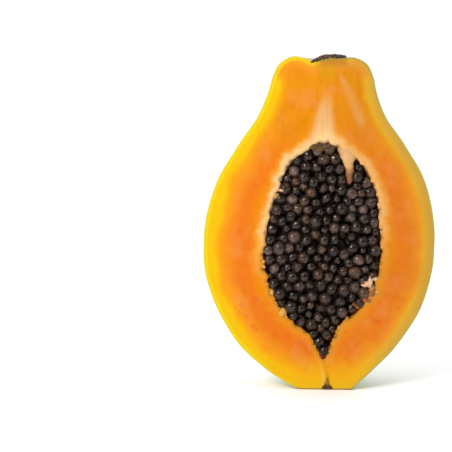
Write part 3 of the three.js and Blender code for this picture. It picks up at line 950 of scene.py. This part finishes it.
PITH_PALE = shown(240, 192, 128)
PITH_TAN = shown(228, 166, 88)
PITH_TOP = shown(226, 178, 120)
PITH_TIP = shown(136, 82, 46)
PULP_AMBER = shown(206, 132, 36)
PULP_BROWN = shown(138, 72, 26)
BROWN_PULP_DARK = shown(52, 34, 12)
BROWN_PULP_LIGHT = shown(128, 92, 28)
SCRAP_PALE = shown(218, 166, 120)
SCRAP_CREAM = shown(244, 206, 172)
SCRAP_TAN = shown(184, 122, 48)
SCRAP_AMBER = shown(190, 116, 34)
SCRAP_BROWN = shown(104, 50, 18)
SCRAP_RED_AND_SHADE = shown(92, 14, 4)


def tube(middles, widths, depths, sides):
    """Points and faces of a closed tube of upright ellipses, each about a middle"""
    around = np.linspace(0, 2 * math.pi, sides, endpoint=False)
    ring = np.column_stack([np.cos(around), np.sin(around), np.zeros(sides)])
    size = np.column_stack([widths, depths, np.zeros(len(widths))])
    points = middles[:, None] + size[:, None] * ring[None]
    index = numbered(points, pointed=False)
    faces = grid_faces(np.column_stack([index, index[:, 0]]))
    faces += [index[0, ::-1].tolist(), index[-1].tolist()]
    return points.reshape(-1, 3), faces


def pith_material():
    """Pale pith and pulp, brown at the flap's tip and on the nubs low on the right"""
    pith = Shader(
        "pith", Roughness=0.4, Specular_IOR_Level=0.25, Subsurface_Weight=0.2, Subsurface_Scale=0.003,
        Subsurface_Radius=(1.0, 0.5, 0.25),
    )
    step, lay = pith.step, pith.lay
    place = pith.place()
    x, y, z = pith.split(place)
    patches = pith.noise(place, 2.4, 3, 0.6)
    pith.colour = pith.mix(PITH_PALE, PITH_TAN, step(patches, 0.4, 0.6))
    lay(PITH_TOP, step(z, 103, 109, 0, 0.75))
    lay(LINING, step(z, 62, 38, 0, 0.5))
    # Painted shade low in the narrow cavity
    lay(CAVITY_EDGE_SHADE, step(z, 34, 26, 0, 0.8))
    browned = pith.mix(PULP_AMBER, PULP_BROWN, step(patches, 0.42, 0.58))
    lay(browned, step(x, 2, 12), step(z, 49, 45, 0, 0.9))
    lay(PITH_TIP, step(z, 107, 102.5), step(z, 90, 96, 0, 0.9))
    # Painted shade: pith further behind the cut is darker
    lay(WALL_SHADE, step(y, CUT_Y + 1.5, CUT_Y + 6, 0, 0.85))
    pith.bump(patches, 0.3)
    return pith.use()


def make_flap(material):
    """A tapered tongue of pith that hangs from the top right of the cavity"""
    t = np.linspace(0, 1, FLAP_ROWS)
    left = spline(FLAP[:6], t)
    right = spline(FLAP[:4:-1], t)
    middle = (left + right) / 2
    width = np.maximum((right[:, 0] - left[:, 0]) / 2, FLAP_TIP) + FLAP_BEVEL * (1 - t)
    width = width * np.sqrt(1 - FLAP_TIP_ROUNDING * t**5)
    depth = FLAP_DEPTH / 2 * (1 - FLAP_THINNING * t)
    middles = np.column_stack([middle[:, 0], FLAP_FRONT - FLAP_LEAN * t + depth, middle[:, 1]])
    points, faces = tube(middles, width, depth, FLAP_SIDES)
    points = points + noises_at(points, FLAP_NOISE)[:, None]
    points[:, 1] = np.maximum(points[:, 1], np.interp(points[:, 2], (100, 108), (-0.6, 0.2)))
    return mesh_piece("pith_flap", points, faces, material)


def make_nubs(material):
    """Nubs of pulp on the cavity's edge: those of the frame, a pale one, and many small ones"""
    random = make_random(SEED_DRAW + 2)
    placed = [*NUBS, PALE_NUB]
    for _ in range(SMALL_NUBS):
        side = "left" if random() < 0.5 else "right"
        x, z = spline(CAVITY[side], np.array([random()]))[0]
        placed.append((x, z, between(*SMALL_NUB_RADII, random() ** 2)))
    ball, ball_faces = round_mesh(LUMP_SPLITS)
    nubs = []
    for number, (x, z, radius) in enumerate(placed):
        nub = lumpy(ball, *NUB_LUMPS, seed=number * 2.7) * radius * NUB_STRETCH
        nub = nub + (x, min(NUB_DEPTH, NUB_ROOT + radius), z)
        nub[:, 1] = np.maximum(nub[:, 1], NUB_FRONT)
        nubs.append(nub)
    return mesh_piece("pulp_nubs", *joined(nubs, ball_faces), material)


def make_brown_pulp():
    """A lump of brown pulp over the topmost seeds"""
    brown = Shader("brown_pulp", Roughness=0.5, Specular_IOR_Level=0.3)
    patches = brown.noise(brown.place(), 1.6, 3)
    brown.bump(patches, 0.4)
    brown.colour = brown.ramp(patches, [(0.35, BROWN_PULP_DARK), (0.65, BROWN_PULP_LIGHT)])
    ball, faces = round_mesh(BROWN_PULP_SPLITS)
    lump = lumpy(ball, *BROWN_PULP_LUMPS) * BROWN_PULP_RADII + BROWN_PULP
    return mesh_piece("brown_pulp", lump, faces.tolist(), brown.use())


def scrap_material():
    """Pale pulp, browner low in the cavity and dark red at its tip"""
    scrap = Shader("pulp_scrap", Roughness=0.35, Specular_IOR_Level=0.3)
    place = scrap.place()
    z = scrap.split(place)[2]
    scrap.colour = scrap.mix(SCRAP_PALE, SCRAP_CREAM, scrap.noise(place, 1.6, 2))
    scrap.lay(SCRAP_TAN, scrap.step(z, 50, 47.5))
    browned = scrap.mix(SCRAP_AMBER, SCRAP_BROWN, scrap.step(scrap.noise(place, 2.2, 3, 0.6), 0.4, 0.6))
    scrap.lay(browned, scrap.step(z, 47, 45))
    # Dark red at the cavity's tip, partly painted shade in the narrow tip
    scrap.lay(SCRAP_RED_AND_SHADE, scrap.step(z, 21, 19))
    return scrap.use()


def make_scraps(seeds):
    """Scraps of pulp that lie on the seeds"""
    ball, ball_faces = round_mesh(LUMP_SPLITS)
    middles, sizes, _ = seeds
    fronts = middles[:, 1] - SEED_RADII[1] * sizes
    scraps = []
    for number, (x, z, width, height) in enumerate(SCRAPS):
        under = np.hypot(middles[:, 0] - x, middles[:, 2] - z) < SCRAP_REACH
        y = max(fronts[under].min() + SCRAP_SINK, SCRAP_FRONT) + (LOW_SCRAP_SINK if z < LOW_SCRAP else 0)
        scrap = lumpy(ball, *SCRAP_LUMPS, seed=number * 4.3) * (width, SCRAP_DEPTH, height)
        scraps.append(scrap + (x, y, z))
    return mesh_piece("pulp_scraps", *joined(scraps, ball_faces), scrap_material())


# Scars at the two ends

CORK_DARK = srgb(34, 22, 18)
CORK_BROWN = srgb(84, 52, 38)
CORK_LIGHT = srgb(138, 92, 66)
CORK_CRACK = srgb(20, 12, 10)
REMNANT_GOLD = shown(196, 144, 30)
REMNANT_BROWN = shown(72, 42, 2)


def cork_material():
    """Dry, cracked cork at the stem, golden to dark brown at the blossom end"""
    cork = Shader("cork", Roughness=0.8)
    place = cork.place()
    z = cork.split(place)[2]
    fine = cork.noise(place, 0.9, 4, 0.7)
    cracks = cork.cells(place, 2.1, "DISTANCE_TO_EDGE")
    cork.colour = cork.ramp(fine, [(0.3, CORK_DARK), (0.5, CORK_BROWN), (0.7, CORK_LIGHT)])
    cork.lay(CORK_CRACK, cork.step(cracks, 0.1, 0.02, 0, 0.8))
    # The flower remnant is golden with a dark brown bottom: partly its own dry colour and partly painted
    # shade in the pit
    cork.lay(REMNANT_GOLD, cork.step(z, 20, 10, 0, 0.92))
    cork.lay(REMNANT_BROWN, cork.step(z, 3, 1.9, 0, 0.94))
    cork.bump(cork.math("ADD", fine, cork.step(cracks, 0, 0.15)), 0.5)
    return cork.use()


def half_turned(name, radii, heights, reaches, rises, middle, base, bump_height, steps, material):
    """Half a turned shape behind the cut, with its reach and rise at the left, the right and the back"""
    profile = spline(np.column_stack([radii, heights]), np.linspace(0, 1, steps))
    around = np.linspace(0, math.pi, TURNED_COLUMNS)
    cos, sin = np.cos(around), np.sin(around)
    left, right, back = reaches
    left_rise, right_rise, back_rise = rises
    share = np.maximum(profile[:, :1], 0)
    rise = np.where(cos > 0, right_rise, left_rise) * cos**2 + back_rise * sin**2
    # Towards the middle the rise fades, faster on top than beneath
    fade = np.linspace(1, TOP_FADE, steps)[:, None]
    x = middle + share * np.where(cos > 0, right, left) * cos
    points = np.stack([x, share * back * sin, base + profile[:, 1:] + share**fade * rise], axis=-1)
    bumps = bump_height * noise_at(points, SCAR_BUMP_SIZE)
    points[..., 0] += bumps * cos * share
    points[:, 1:-1, 1] = np.maximum(points[:, 1:-1, 1] + (bumps * share)[:, 1:-1] * sin[1:-1], 0)
    points[..., 2] += bumps * smooth(0, 0.4, share)
    index = numbered(points)
    faces = grid_faces(index) + [loop(index)[:-1].tolist()]
    return mesh_piece(name, points, faces, material)


# Put together

fruit_rows = rows_of(STATIONS, FOOT, STEM_END, ROWS + 1)
outer = loft(fruit_rows, np.linspace(0, math.pi, BACK_COLUMNS), lobed=True)
skin = make_skin(outer)
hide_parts("fruit_half")

cavity_rows = rows_of(CAVITY, CAVITY_TIP, CAVITY_TOP, ROWS + 1)
wall = loft(cavity_rows, np.linspace(0, math.pi, WALL_COLUMNS))
flesh = make_flesh(outer, wall)
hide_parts("fruit_half")

seeds = place_seeds()
behind = back_seeds()
dark_core = core_material()
clear_coat = coat_material()
cores = make_seeds("seed_cores", seeds, CORE_SHARE, CORE_WRINKLE, dark_core)
coats = make_seeds("seed_coats", seeds, COAT_SHARE, COAT_WRINKLE, clear_coat)
back_cores = make_seeds("back_seed_cores", behind, BACK_CORE_SHARE, CORE_WRINKLE, dark_core)
back_coats = make_seeds("back_seed_coats", behind, COAT_SHARE, COAT_WRINKLE, shaded_back_coat_material())
for piece in (cores, coats, back_cores, back_coats, make_bed(wall)):
    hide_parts("seed_mass")

pith = pith_material()
for piece in (make_flap(pith), make_nubs(pith), make_brown_pulp(), make_scraps(seeds)):
    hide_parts("fruit_half")

cork = cork_material()
left_x, left_z = STATIONS["left"][-1]
right_x, right_z = STATIONS["right"][-1]
back_y, back_z = STATIONS["back"][-1]
stem_x, stem_z = STEM_END
reaches = (stem_x - left_x + CRUST_OVERHANG, right_x - stem_x, back_y)
rises = (left_z - stem_z - CRUST_DROP, right_z - stem_z - CRUST_DROP / 2, back_z - stem_z)
crust = half_turned(
    "stem_crust", CRUST_SHARES, CRUST_HEIGHTS, reaches, rises, stem_x, stem_z, CRUST_BUMPS, CRUST_ROWS, cork,
)
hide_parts("stem_scar")
remnant = half_turned(
    "flower_remnant", REMNANT_RADII, REMNANT_HEIGHTS, (1, 1, 1), (0, 0, 0), PIT_X, 0, REMNANT_BUMPS,
    REMNANT_ROWS, cork,
)
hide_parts("blossom_scar")

# Floor, light and camera

TARGET = Vector((-0.0486, 0.0, 0.0770))
CAMERA_AZIMUTH = 4
CAMERA_ELEVATION = 5
CAMERA_DISTANCE = 0.608
LENS = 100
WORLD_BACK = 1.04
WORLD_FRONT = 0.25
WORLD_TOP = 1.45
LIT_POINT = Vector((0, 0, 0.08))
FLOOR_REACH = 12.0


def make_floor():
    """A plain pale floor"""
    floor = Shader("floor", Roughness=0.6)
    floor.colour = srgb(254, 251, 255)
    mesh = bpy.data.meshes.new("floor")
    corners = [(-1, -1), (1, -1), (1, 1), (-1, 1)]
    mesh.from_pydata([(x * FLOOR_REACH, y * FLOOR_REACH, 0) for x, y in corners], [], [(0, 1, 2, 3)])
    mesh.materials.append(floor.use())
    add("floor", mesh)


def make_light(name, place, energy, size):
    """A square lamp that shines on the fruit"""
    data = bpy.data.lights.new(name, "AREA")
    data.energy = energy
    data.size = size
    made = add(name, data)
    made.location = place
    made.rotation_euler = (LIT_POINT - made.location).to_track_quat("-Z", "Y").to_euler()


def make_world():
    """White behind the fruit and overhead, and dimmer in front of it, as in a studio"""
    world = bpy.data.worlds.new("studio")
    world.use_nodes = True
    nodes, links = world.node_tree.nodes, world.node_tree.links
    parts = nodes.new("ShaderNodeSeparateXYZ")
    links.new(nodes.new("ShaderNodeTexCoord").outputs["Generated"], parts.inputs[0])
    ranges = (("Y", -0.9, 0.1, WORLD_FRONT - WORLD_BACK, 0.0), ("Z", 0.2, 1.0, WORLD_BACK, WORLD_TOP))
    strength = nodes.new("ShaderNodeMath")
    for total, (axis, *values) in zip(strength.inputs, ranges):
        part = nodes.new("ShaderNodeMapRange")
        links.new(parts.outputs[axis], part.inputs["Value"])
        for socket, value in zip(part.inputs[1:5], values):
            socket.default_value = value
        links.new(part.outputs[0], total)
    background = nodes["Background"]
    links.new(strength.outputs[0], background.inputs["Strength"])
    background.inputs["Color"].default_value = (1, 1, 1, 1)
    bpy.context.scene.world = world


def make_camera():
    """The camera, at the photo's angle"""
    azimuth, elevation = math.radians(CAMERA_AZIMUTH), math.radians(CAMERA_ELEVATION)
    level = math.cos(elevation)
    back = Vector((math.sin(azimuth) * level, -math.cos(azimuth) * level, math.sin(elevation)))
    data = bpy.data.cameras.new("camera")
    data.lens = LENS
    made = add("camera", data)
    made.location = TARGET + CAMERA_DISTANCE * back
    made.rotation_euler = (-back).to_track_quat("-Z", "Y").to_euler()
    bpy.context.scene.camera = made


make_floor()
make_world()
make_light("key", (-0.55, -0.85, 0.62), 7.6, 0.45)
make_light("sparkle", (-0.42, -0.8, 0.7), 1.6, 0.07)
make_camera()
bpy.context.scene.view_settings.view_transform = "Standard"
